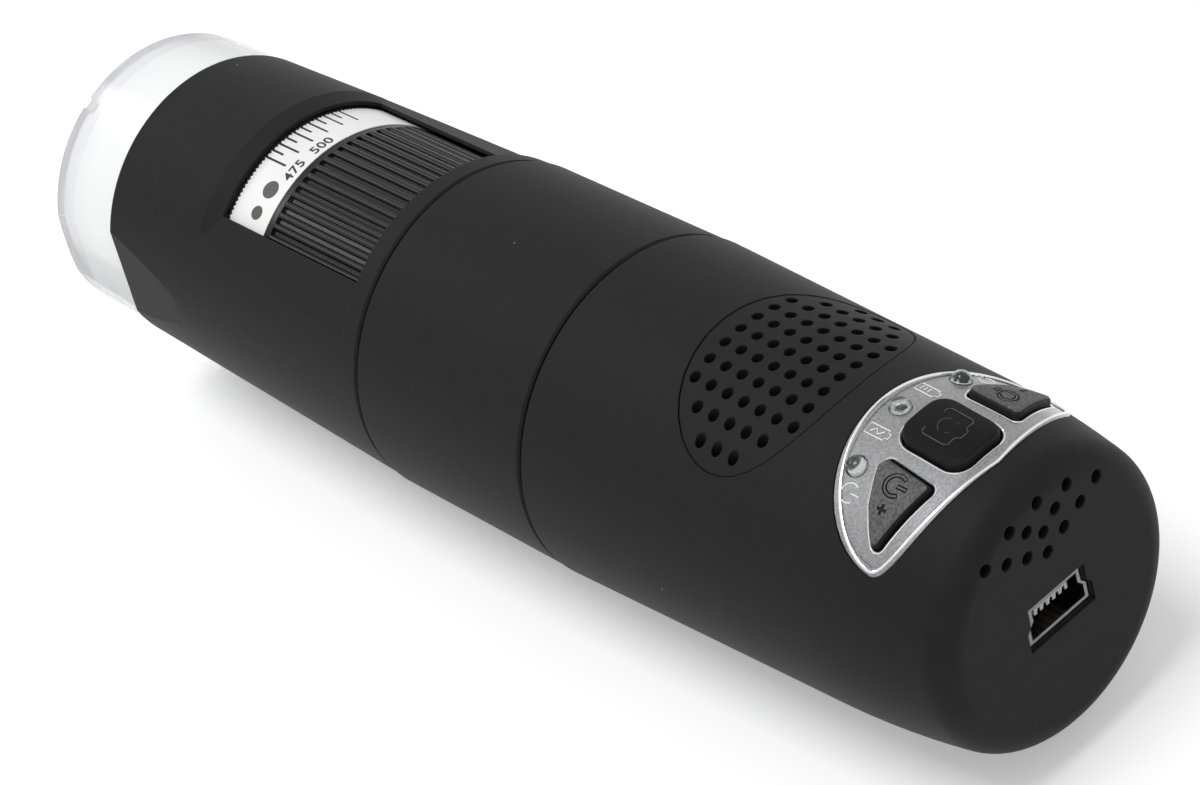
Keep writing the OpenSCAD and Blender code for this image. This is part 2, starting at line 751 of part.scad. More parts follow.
module clear_hood() color(clear_tint) in_place() difference() {
  y0 = y_rim + fit_gap;
  front = hood_r - hood_len * tan(hood_taper);
  spin() polygon([
    [hood_bore_r, y_rim - hood_spigot], [nose_bore_r - fit_gap, y_rim - hood_spigot],
    [nose_bore_r - fit_gap, y0],
    [hood_r, y0], [front, y_nose - hood_chamfer], [front - hood_chamfer, y_nose], [hood_bore_r, y_nose]
  ]);
  hood_flats();
  rotate([0, notch_angle, 0]) block(notch_w, y_nose - notch_depth, y_nose + over, 0, body_r);
}

// Frame inside the body: a tube that joins the three shells, and a plate for the board

module flange_spots() {
  for (a = [60, 180, 300]) rotate([0, a, 0]) translate([0, 0, flange_screw_r]) children();
}

module inner_frame() color(frame_grey) in_place() difference() {
  union() {
    tube(core_r, core_in_r, -socket_depth, y_core);
    tube(core_r - 0.5, 6, y_bulkhead, y_sensor);
    intersection() {
      block(board_w + 2, y_plate, y_plate_front, plate_low, board_low);
      rod(rear_r(-y_plate) - wall - 0.4, y_plate - over, y_plate_front + over);
    }
    intersection() {
      block(body_d, -socket_depth, y_plate_front, plate_low, board_low);
      rod(core_r - 0.5, -socket_depth - over, y_plate_front + over);
    }
  }
  flange_spots() rod(screw_r + fit_gap, y_bulkhead - over, y_sensor + over);
  board_screw_spots() translate([0, 0, plate_low - over])
    cylinder(r = screw_r + fit_gap, h = plate_t + over + fit_gap);
}

// Optical column: guide tube, dial, lens barrel and lamps

module guide_tube() color(frame_grey) in_place() difference() {
  spin() polygon([
    [0, y_sensor], [core_in_r - fit_gap, y_sensor], [core_in_r - fit_gap, y_flange], [guide_r, y_flange],
    [guide_r, y_shoulder - 1.2], [guide_r + 1.9, y_shoulder - 1.2], [guide_r + 1.9, y_shoulder],
    [guide_r, y_shoulder], [guide_r, y_hub_front + clip_gap - fit_gap],
    [guide_r - clip_depth, y_hub_front + clip_gap - fit_gap],
    [guide_r - clip_depth, y_hub_front + clip_gap + clip_t + fit_gap],
    [guide_r, y_hub_front + clip_gap + clip_t + fit_gap], [guide_r, y_guide_front], [0, y_guide_front]
  ]);
  rod(guide_bore_r, y_flange, y_guide_front + over);
  rod(sensor_board_r + fit_gap, y_sensor - over, y_sensor + board_t);
  rod(step_bore_r, y_sensor, y_flange + over);
  block(2 * slot_r, y_pin - back_travel - slot_r, y_pin + on_travel + slot_r,
    -guide_r - over, -guide_bore_r / 2);
  flange_spots() rod(screw_r + fit_gap, y_sensor - over, y_flange + over);
}

// The groove that drives the pin runs round inside the dial as it climbs along the axis
module drive_groove() {
  n = 54;
  first = dial_back + 8;
  last = -dial_on - 8;
  function at(a, r, s) = let (p = polar(r, 180 - a)) [p[0], y_pin - a * lens_pitch * PI / 180 + s, p[1]];
  angles = steps(first, last, n);
  rings = [for (a = angles)
    [at(a, guide_r - 0.5, -slot_r), at(a, groove_floor_r, -slot_r),
     at(a, groove_floor_r, slot_r), at(a, guide_r - 0.5, slot_r)]];
  points = [for (ring = rings, p = ring) p];
  side_faces = [for (i = [0:n - 1], j = [0:3], h = [0, 1])
    let (a = 4 * i + j, b = 4 * i + (j + 1) % 4) h == 0 ? [a, b, b + 4] : [a, b + 4, a + 4]];
  end_faces = [[0, 2, 1], [0, 3, 2], [4 * n, 4 * n + 1, 4 * n + 2], [4 * n, 4 * n + 2, 4 * n + 3]];
  polyhedron(points, concat(side_faces, end_faces));
}

module focus_ring() color(soft_black) in_place() difference() {
  seat_r = dial_r - scale_t - fit_gap;
  union() {
    along_y(y_dial, y_scale - ledge_w) difference() {
      union() {
        circle(dial_r - rib_r);
        for (i = [0:rib_count - 1]) translate(polar(dial_r - rib_r, i * 360 / rib_count))
          circle(rib_r, $fn = 24);
      }
      circle(rim_in_r);
    }
    tube(dial_r - 0.1, rim_in_r, y_scale - ledge_w, y_scale);
    tube(seat_r, rim_in_r, y_scale, y_dial_front);
    tube(rim_in_r + 0.3, hub_r - 0.3, y_hub + 6, y_hub + 8.2);
    tube(hub_r, guide_r + run_gap, y_hub, y_hub_front);
  }
  drive_groove();
}

module scale_band() color("white") in_place() tube(dial_r, dial_r - scale_t, y_scale, y_dial_front);

module ring_clip() color(steel) in_place() difference() {
  y0 = y_hub_front + clip_gap;
  tube(guide_r + clip_out, guide_r - clip_depth + fit_gap, y0, y0 + clip_t);
  block(6, y0 - over, y0 + clip_t + over, 0, body_r);
}

module friction_washer() color("saddlebrown") in_place()
  tube(guide_r + 1.8, guide_r + fit_gap, y_shoulder, y_shoulder + washer_t);

module lens_barrel() color([0.12, 0.12, 0.13]) in_place() difference() {
  rod(barrel_r, y_barrel, y_barrel_front);
  rod(barrel_bore_r, y_barrel + lens_stop, y_barrel_front + over);
  rod(lens_seat_r, y_barrel - over, y_barrel_front);
  translate([0, y_pin, -barrel_r - over]) cylinder(r = pin_r + 0.02, h = barrel_r);
}

module drive_pin() color(steel) in_place()
  translate([0, y_pin, -groove_floor_r + pin_gap])
    cylinder(r = pin_r, h = groove_floor_r - pin_gap - barrel_bore_r - 0.2);

function lens_sag(r) = lens_face_r - sqrt(pow(lens_face_r, 2) - pow(r, 2));
lens_r = barrel_bore_r - fit_gap;
lens_lip = 1;
lens_seat_r = lens_r - lens_lip;
y_rear_lens = y_barrel + lens_stop - lens_sag(lens_seat_r) + 0.01;
y_front_lens = y_barrel_front - 0.9 - front_lens_t;

// A lens with two round faces and a ground edge
module lens(y0, t) {
  spin() intersection() {
    translate([0, y0]) square([lens_r, t]);
    translate([0, y0 + lens_face_r]) circle(lens_face_r, $fn = 360);
    translate([0, y0 + t - lens_face_r]) circle(lens_face_r, $fn = 360);
  }
}

module front_lens() color([0.7, 0.85, 0.95, 0.5]) in_place() lens(y_front_lens, front_lens_t);
module rear_lens() color([0.7, 0.85, 0.95, 0.5]) in_place() lens(y_rear_lens, rear_lens_t);
module lens_spacer() color([0.12, 0.12, 0.13]) in_place()
  tube(lens_r, lens_seat_r, y_rear_lens + rear_lens_t - lens_sag(lens_seat_r) + 0.01,
    y_front_lens + lens_sag(lens_seat_r) - 0.01);
module lens_retainer() color([0.12, 0.12, 0.13]) in_place()
  tube(lens_r, lens_seat_r, y_front_lens + front_lens_t - lens_sag(lens_seat_r) + 0.01, y_barrel_front);

lamp_board_r = nose_bore_r - 0.2;
module lamp_board() color("white") in_place() tube(lamp_board_r, step_bore_r - 0.2, y_guide_front, y_lamps);

module lamps() color([1, 1, 0.9]) in_place() for (i = [0:lamp_count - 1])
  rotate([0, (i + 0.5) * 360 / lamp_count, 0]) translate([0, 0, lamp_ring_r]) {
    rod(lamp_d / 2, y_lamps, y_lamps + lamp_len - lamp_d / 2);
    translate([0, y_lamps + lamp_len - lamp_d / 2, 0]) sphere(d = lamp_d, $fn = 48);
  }

module sensor_board() color(board_green) in_place() rod(sensor_board_r, y_sensor, y_sensor + board_t);
module image_sensor() color([0.1, 0.1, 0.12]) in_place()
  block(sensor_w, y_sensor + board_t, y_sensor + board_t + 1.2, -sensor_w / 2, sensor_w / 2);
module infrared_filter() color([0.7, 0.4, 0.45, 0.6]) in_place()
  block(sensor_w - 1.4, y_sensor + board_t + 1.2, y_flange, -sensor_w / 2 + 0.7, sensor_w / 2 - 0.7);

// A pan-head screw whose head rests at height 0 and whose shank points down
module screw(length) {
  difference() {
    union() {
      translate([0, 0, -length]) cylinder(r = screw_r, h = length);
      cylinder(r = head_r, h = head_t);
    }
    translate([0, 0, head_t / 2]) cylinder(r = screw_r * 0.7, h = head_t, $fn = 6);
  }
}

module flange_screws() color(steel) in_place()
  flange_spots() translate([0, y_flange, 0]) rotate([-90, 0, 0]) screw(y_flange - y_bulkhead - 0.3);

// Electronics on the frame's plate

module board_screw_spots() {
  for (x = [-board_screw_x, board_screw_x], y = board_screw_ys) translate([x, y, 0]) children();
}

module main_board() color(board_green) in_place() difference() {
  block(board_w, y_board, y_board_front, board_low, board_top);
  board_screw_spots() translate([0, 0, board_low - over]) cylinder(r = screw_r + 0.1, h = board_t + 2 * over);
}

module board_screws() color(steel) in_place()
  board_screw_spots() translate([0, 0, board_top]) screw(board_t + plate_t - fit_gap);

module wifi_module() color(silver) in_place()
  block(board_w - 2 * antenna_w - 2, y_chips + chip_len + part_gap, y_front_screw - part_gap,
    board_top, board_top + wifi_h);

module board_chips() color([0.1, 0.1, 0.12]) in_place() {
  span = 2 * (board_screw_x - head_r - 0.6);
  translate([-span * 0.2, 0, 0])
    block(span * 0.56, y_chips, y_chips + chip_len, board_top, board_top + chip_h);
  translate([span * 0.32, 0, 0])
    block(span * 0.3, y_chips + 0.12 * chip_len, y_chips + 0.88 * chip_len,
      board_top, board_top + 1.25 * chip_h);
}

module antenna() color("goldenrod") in_place()
  translate([(board_w - antenna_w) / 2 - 0.5, 0, 0])
    block(antenna_w, y_chips + chip_len + 4, y_front_screw - part_gap - 2, board_top, board_top + antenna_t);

module battery() color([0.55, 0.6, 0.65]) in_place() along_y(cell_front - cell_len, cell_front)
  rounded([for (s = [[-1, 1], [-1, -1], [1, -1], [1, 1]])
    [s[0] * (cell_w / 2 - 1.2), tape_low - cell_t / 2 + s[1] * (cell_t / 2 - 1.2)]], 1.2);

module battery_tape() color("beige") in_place()
  block(cell_w - 3, cell_front - cell_len + 2, cell_front - 2, tape_low, plate_low);

y_connector = y_board_front - 4;
flex_z = board_top + connector_t / 2;

module flex_connectors() color("ivory") in_place() {
  block(connector_w, y_connector, y_connector + connector_l, board_top, board_top + connector_t);
  block(connector_w, y_sensor - connector_t, y_sensor, flex_z - connector_t / 2, flex_z + connector_t / 2);
}

module flex_cable() color("orange") in_place()
  block(flex_w, y_connector + connector_l, y_sensor - connector_t, flex_z - flex_t / 2, flex_z + flex_t / 2);

// Charging socket

y_usb = y_end + usb_sink;
usb_blade_w = usb_w - 2.6;
usb_blade_z = usb_lift + 0.15;

module usb_shell() color(steel) in_place() difference() {
  along_y(y_usb, y_usb + usb_len) polygon(usb_points(usb_t));
  along_y(y_usb - over, y_usb + usb_len + over) polygon(usb_points(0));
}

module usb_tongue() color([0.35, 0.35, 0.38]) in_place() {
  along_y(y_usb + usb_len - 1.2, y_usb + usb_len) polygon(usb_points(0));
  block(usb_blade_w, y_usb + 0.6, y_usb + usb_len - over, usb_blade_z, usb_blade_z + 0.8);
}

module usb_contacts() color(brass_gold) in_place() for (i = [-2:2]) translate([i * 0.8, 0, 0])
  block(0.4, y_usb + 1, y_usb + usb_len - 1.2, usb_blade_z - 0.15, usb_blade_z);

rear_housing();
middle_sleeve();
front_housing();
clear_hood();
inner_frame();
guide_tube();
focus_ring();
scale_band();
ring_clip();
friction_washer();
lens_barrel();
drive_pin();
front_lens();
rear_lens();
lens_spacer();
lens_retainer();
lamp_board();
lamps();
sensor_board();
image_sensor();
infrared_filter();
flange_screws();
main_board();
wifi_module();
board_chips();
antenna();
board_screws();
battery();
battery_tape();
flex_cable();
flex_connectors();
usb_shell();
usb_tongue();
usb_contacts();
grille_plate();
button_panel();
panel_film();
indicator_domes();
indicator_lamps();
button_board();
tact_switches();
power_button();
capture_button();
light_button();
power_plunger();
capture_plunger();
light_plunger();
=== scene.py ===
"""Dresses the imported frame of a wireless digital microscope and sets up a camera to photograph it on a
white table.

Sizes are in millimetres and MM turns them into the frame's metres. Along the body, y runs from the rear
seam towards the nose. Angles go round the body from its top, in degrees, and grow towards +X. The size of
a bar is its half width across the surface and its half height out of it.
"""
import json
import math

import bmesh
import bpy
import numpy as np
from mathutils import Matrix, Vector
from mathutils.bvhtree import BVHTree


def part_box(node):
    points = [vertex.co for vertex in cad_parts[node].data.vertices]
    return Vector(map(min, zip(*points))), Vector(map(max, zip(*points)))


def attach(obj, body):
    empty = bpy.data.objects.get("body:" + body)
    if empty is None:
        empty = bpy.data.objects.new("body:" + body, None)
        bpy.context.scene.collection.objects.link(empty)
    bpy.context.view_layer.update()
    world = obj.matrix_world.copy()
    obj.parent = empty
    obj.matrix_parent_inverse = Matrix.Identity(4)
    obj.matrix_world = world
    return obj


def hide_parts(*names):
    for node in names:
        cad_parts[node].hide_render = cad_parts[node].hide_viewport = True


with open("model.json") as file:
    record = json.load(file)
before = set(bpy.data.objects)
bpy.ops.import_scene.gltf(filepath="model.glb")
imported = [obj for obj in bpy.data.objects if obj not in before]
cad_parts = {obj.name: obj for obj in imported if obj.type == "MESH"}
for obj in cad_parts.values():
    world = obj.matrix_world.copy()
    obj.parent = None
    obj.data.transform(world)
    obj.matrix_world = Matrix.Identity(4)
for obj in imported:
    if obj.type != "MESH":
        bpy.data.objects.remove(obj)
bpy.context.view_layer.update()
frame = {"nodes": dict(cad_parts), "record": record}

MM = 0.001


def mirrored(points):
    """Flat points on the other side of the middle, from the last to the first."""
    return [(-u, v) for u, v in reversed(points)]


# Body: its rear seam is SEAM_Y behind the frame's origin, and its axis AXIS_Z above the table
SEAM_Y = 13.05
AXIS_Z = 17.4864
FAR = 30  # a radius outside the whole body
HOOD_LIP = (74.45, 78.1)

# Shading: edges of less than these degrees are smooth, and corners within WELD metres are one point
CAD_SMOOTH = 10
PIECE_SMOOTH = 34
WELD = 2e-6
LEAST_LENGTH = 1e-12

# Materials: the range that noise mostly has, and the sockets of a Mix node that mixes colours
NOISE_LOW, NOISE_HIGH = 0.3, 0.7
MIX_FACTOR, MIX_FIRST, MIX_SECOND, MIX_RESULT = 0, 6, 7, 2
BEVEL_SAMPLES = 6
ROUGHNESS_SPREAD = 0.05
CLEAR_SPREAD = 0.02
RIPPLE_SIZE = 3.0
TABLE_PATCH = 40.0

# Bars: the sides of a plain one and of a fine one
BAR_SIDES = 10
FINE_SIDES = 8

# Buttons: their corners are the middles of the corner arcs, round the body and along it
KEY_MID = -42.8
KEY_PITCH = 29.547
KEY_TOP = 16.64
KEY_FOOT = 13.6
KEY_SLOPE = 0.1096
KEY_EDGE = 0.4
KEY_CROWN = 0.16
KEY_POINTS = 120
ROLL_ANGLES = range(0, 91, 15)
CROWN_SHARES = (0.88, 0.72, 0.54, 0.36, 0.18, 0.02)
CAPTURE_CORNERS = [(-1.4, 1.95), (-1.4, -1.95), (1.4, -1.95), (1.4, 1.95)]
CAPTURE_ROUND = 1.8
POWER_CORNERS = [(2.7, 2.45), (2.3, 2.64), (-0.75, 1.54), (-2.74, 0.38), (-3.75, -0.3), (2.19, -2.1)]
SIDE_ROUND = 0.45
KEYS = {
    "power": (POWER_CORNERS, SIDE_ROUND, -KEY_PITCH),
    "capture": (CAPTURE_CORNERS, CAPTURE_ROUND, 0),
    "light": (mirrored(POWER_CORNERS), SIDE_ROUND, KEY_PITCH),
}

# Signs on the buttons: grooves outline the power and lamp signs, and the plus and minus are grooves
POWER_SIGN = (1.28, 0.2)
LAMP_SIGN = (-1.28, 0.1)
KEY_SIGN_SIZE = 1.0
PLUS_MARK = (-1.1, 0.2)
MINUS_MARK = (1.1, 0.2)
KEY_MARK_SIZE = 0.5
KEY_LINE_SINK = KEY_CROWN * 0.3
SIGN_STROKE = 0.17
SIGN_GROOVE = (0.08, 0.14)
MARK_GROOVE = (0.15, 0.14)
RAISED_LINE = (0.05, 0.04)

# Panel: half an ellipse in front of its tips and a leaner curve behind them
PANEL_TIP_Y = -43.2
PANEL_TIP_X = 12.68
PANEL_FRONT = 8.6
PANEL_BACK = 5.1
PANEL_BACK_POWER = 1.15
PANEL_POINTS = 160
PANEL_R = 15.9
RIM_INSET = 0.18
RIM_BAR = (0.15, 0.12)
CUT_OUT_GAP = 0.22
CUT_OUT_RIM = 0.12
CUT_OUT_BAR = (0.08, 0.08)

# Signs on the panel: y and angle of the battery signs and of the signs towards its tips
CELL_PLACE = (-37.1, 11.5)
TIP_PLACE = (-38.3, 33.0)
TIP_SIGN_SIZE = 0.9
PANEL_SIGN_BAR = (0.07, 0.06)
PANEL_SIGN_LIFT = 0.02

# Domes: y and angle of each, and their outline as radius and height above the panel
DOME_PLACES = [(-37.5, -24.54), (-36.8, 0.0), (-37.5, 24.54)]
DOME_FLARE = 1.1
DOME_SIDES = 40
DOME_PROFILE = [
    (0.8, -0.9), (0.84, -0.05), (DOME_FLARE, -0.02), (1.04, 0.06), (0.95, 0.16), (0.87, 0.32),
    (0.8, 0.5), (0.66, 0.68), (0.45, 0.8), (0.22, 0.86), (0.02, 0.88),
]

# Charging socket: the notches are cut from outside the tongue's end and underside
CONTACT_PITCH = 0.8
CONTACT_PLACES = range(-2, 3)
TONGUE_LOW = 0.15
NOTCH_HALF = 0.2
NOTCH_HEIGHTS = (TONGUE_LOW - 0.1, TONGUE_LOW + 0.5)
NOTCH_DEPTHS = (-0.2, 0.5)

# Dial's scale: the numbers leave a gap for the two dots, given as y, angle and radius
SCALE_R = 15.26
SCALE_FRONT = 50.3
SCALE_UNITS = 25
SCALE_STEP = 14.85
SCALE_475 = -15.2
SCALE_VALUES = [*range(0, 401, SCALE_UNITS), 475, 500]
SCALE_DOTS = [(46.2, -26.2, 1.0), (46.3, -36.4, 0.75)]
DOT_POINTS = 36
DOT_SHARES = (0.5, 0.03)
MARK_START = SCALE_FRONT - 0.4
MARK_LONG = 46.6
MARK_SHORT = 48.05
MARK_BAR = (0.13, 0.02)
TEETH = 194
TOOTH_TIP = 49.6
TOOTH_ROOT = 49.85
TOOTH_FRONT = SCALE_FRONT - 0.05
INK_LOW = -0.03
INK_HIGH = 0.02
NUMBER_Y = 44.65
NUMBER_SIZE = 1.72
NUMBER_WEIGHT = 0.03
NUMBER_SPACING = 1.08

# Camera
CAMERA_PLACE = (-168.25, -266.61, 250.99)
CAMERA_RIGHT = (0.7116, -0.6635, -0.2311)
CAMERA_FORWARD = (0.4307, 0.6719, -0.6025)
CAMERA_LENS = 120.3
CAMERA_SENSOR = 36.0
CAMERA_CLIP = (10.0, 20000.0)

# Studio, in metres and watts: each lamp has its place, size and power
TABLE_CORNER = 6.0
TABLE_GLOW = 0.3
ROOM_LIGHT = 0.45
ROOM_SEEN = 1.0
LAMP_AIM = (0, 0, 0.02)
LAMPS = {
    "soft_box": ((-0.25, -0.05, 0.75), (0.35, 0.35), 2.6),
    "fill": ((-0.45, -0.55, 0.4), (0.5, 0.5), 0.3),
    "back": ((-0.25, 0.75, 0.6), (0.6, 0.1), 0.9),
}


def at(y, angle, radius):
    """The point at this distance along the body, angle round it and radius from its axis."""
    turn = math.radians(angle)
    return Vector((radius * math.sin(turn), y - SEAM_Y, AXIS_Z + radius * math.cos(turn))) * MM


def placed(name, data):
    """A new object in the scene that shows this data."""
    thing = bpy.data.objects.new(name, data)
    bpy.context.scene.collection.objects.link(thing)
    return thing


# Materials

class Finish:
    """A procedural material: one Principled shader, with helpers for the textures that feed it."""

    def __init__(self, name, **inputs):
        self.name = name
        self.material = bpy.data.materials.new(name)
        self.material.use_nodes = True
        self.tree = self.material.node_tree
        self.shader = self.tree.nodes["Principled BSDF"]
        self.place = self.add("ShaderNodeTexCoord").outputs["Object"]
        self.set(self.shader, **inputs)

    def set(self, node, **inputs):
        """Sets a node's inputs by name, with _ for a space: a socket is linked, a value is written."""
        for name, value in inputs.items():
            socket = node.inputs[name.replace("_", " ")]
            if isinstance(value, bpy.types.NodeSocket):
                self.tree.links.new(value, socket)
            elif socket.type == "RGBA":
                socket.default_value = (*value, 1.0)
            else:
                socket.default_value = value

    def add(self, kind, **inputs):
        """A new node of this kind, with these inputs set."""
        node = self.tree.nodes.new(kind)
        self.set(node, **inputs)
        return node

    def measured(self, size):
        """The place on the object, counted in steps of this many millimetres."""
        node = self.add("ShaderNodeVectorMath", Vector=self.place)
        node.operation = "MULTIPLY"
        node.inputs[1].default_value = [1 / (size * MM)] * 3
        return node.outputs[0]

    def noise(self, size, detail=2.0):
        """Noise with features about size millimetres across."""
        node = self.add("ShaderNodeTexNoise", Vector=self.measured(size), Scale=1.0, Detail=detail)
        return node.outputs["Fac"]

    def spread(self, value, low, high, start=NOISE_LOW, end=NOISE_HIGH):
        """Maps a value's range from start to end onto low to high."""
        node = self.add("ShaderNodeMapRange", Value=value, From_Min=start, From_Max=end)
        self.set(node, To_Min=low, To_Max=high)
        return node.outputs[0]

    def ramp(self, value, *stops):
        """A colour ramp of (place, colour) stops."""
        node = self.add("ShaderNodeValToRGB", Fac=value)
        elements = node.color_ramp.elements
        while len(elements) < len(stops):
            elements.new(0.5)
        for element, (place, colour) in zip(elements, stops):
            element.position = place
            element.color = (*colour, 1.0)
        return node.outputs["Color"]

    def add_specks(self, spacing, size, fewer, light):
        """Lays light specks over the colour, in some of the cells of a loose grid."""
        colour = self.shader.inputs["Base Color"].links[0].from_socket
        cells = self.add("ShaderNodeTexVoronoi", Vector=self.measured(spacing), Scale=1.0)
        kept = self.add("ShaderNodeSeparateColor", Color=cells.outputs["Color"]).outputs[0]
        reach = self.spread(kept, 0.0, size, fewer, 1.0)
        inside = self.add("ShaderNodeMath")
        inside.operation = "LESS_THAN"
        self.tree.links.new(cells.outputs["Distance"], inside.inputs[0])
        self.tree.links.new(reach, inside.inputs[1])
        mix = self.add("ShaderNodeMix")
        mix.data_type = "RGBA"
        self.tree.links.new(inside.outputs[0], mix.inputs[MIX_FACTOR])
        self.tree.links.new(colour, mix.inputs[MIX_FIRST])
        mix.inputs[MIX_SECOND].default_value = (*light, 1.0)
        self.set(self.shader, Base_Color=mix.outputs[MIX_RESULT])

    def broken_edges(self, radius):
        """The normal of edges broken with this radius."""
        node = self.add("ShaderNodeBevel", Radius=radius * MM)
        node.samples = BEVEL_SAMPLES
        return node.outputs[0]

    def bump(self, height, depth, normal=None):
        """The normal of a relief of this depth, on another normal if there is one."""
        node = self.add("ShaderNodeBump", Height=height, Distance=depth * MM)
        if normal:
            self.set(node, Normal=normal)
        return node.outputs[0]

    def let_lamps_through(self, tint):
        """Lamp light passes straight through, so that what lies behind the clear material is lit."""
        path = self.add("ShaderNodeLightPath")
        straight = self.add("ShaderNodeBsdfTransparent", Color=tint)
        mix = self.add("ShaderNodeMixShader", Fac=path.outputs["Is Shadow Ray"])
        self.tree.links.new(self.shader.outputs[0], mix.inputs[1])
        self.tree.links.new(straight.outputs[0], mix.inputs[2])
        self.set(self.tree.nodes["Material Output"], Surface=mix.outputs[0])


def moulded(name, colour, roughness, grain=0.35, depth=0.004, uneven=0.12, edge=0.0, patch=14, **inputs):
    """An opaque finish: colour in patches of so many grains, grainy roughness and a fine surface grain."""
    finish = Finish(name, **inputs)
    speckle = finish.noise(grain)
    patches = finish.noise(grain * patch, detail=4.0)
    darker = tuple(c * (1 - uneven) for c in colour)
    lighter = tuple(min(1.0, c * (1 + uneven)) for c in colour)
    finish.set(
        finish.shader,
        Base_Color=finish.ramp(patches, (NOISE_LOW, darker), (NOISE_HIGH, lighter)),
        Roughness=finish.spread(speckle, roughness - ROUGHNESS_SPREAD, roughness + ROUGHNESS_SPREAD),
        Normal=finish.bump(speckle, depth, finish.broken_edges(edge) if edge else None),
    )
    return finish


def clear(name, tint, roughness, ior, ripple=0.002, milky=0.0):
    """A clear finish with a faint ripple of the mould in it, and a share of milky haze."""
    finish = Finish(name, Base_Color=tint, Transmission_Weight=1.0 - milky, IOR=ior)
    wave = finish.noise(RIPPLE_SIZE)
    finish.set(
        finish.shader,
        Roughness=finish.spread(wave, max(0.0, roughness - CLEAR_SPREAD), roughness + CLEAR_SPREAD),
        Normal=finish.bump(wave, ripple),
    )
    finish.let_lamps_through(tint)
    return finish


def hood_plastic():
    """The hood's clear plastic: a little milky, and greyer at its front edge."""
    wall, lip, front = (0.95, 0.95, 0.955), (0.86, 0.86, 0.885), (0.74, 0.74, 0.78)
    finish = clear("clear_plastic", wall, 0.16, 1.45, milky=0.45)
    along = finish.add("ShaderNodeSeparateXYZ", Vector=finish.place).outputs["Y"]
    start, end = ((y - SEAM_Y) * MM for y in HOOD_LIP)
    share = finish.spread(along, 0.0, 1.0, start, end)
    tint = finish.ramp(share, (0.0, wall), (0.08, lip), (0.75, lip), (1.0, front))
    finish.set(finish.shader, Base_Color=tint, Specular_IOR_Level=0.2)
    return finish


def soft_touch():
    """Soft-touch black paint: matt, with a faint sheen at grazing angles and a few specks of dust."""
    finish = moulded(
        "soft_black", (0.0088, 0.009, 0.0088), 0.6, grain=0.12, depth=0.0025, uneven=0.1, edge=0.18,
        Specular_IOR_Level=0.16, Sheen_Weight=0.02, Sheen_Roughness=0.35,
    )
    finish.add_specks(spacing=2.4, size=0.035, fewer=0.9, light=(0.45, 0.45, 0.44))
    return finish


def speckled_key():
    """The middle button's black top, with fine light specks."""
    black = (0.005, 0.005, 0.0051)
    finish = moulded("key_speckled", black, 0.5, grain=0.12, depth=0.01, Specular_IOR_Level=0.11)
    finish.add_specks(spacing=0.5, size=0.12, fewer=0.6, light=(0.05, 0.05, 0.05))
    return finish


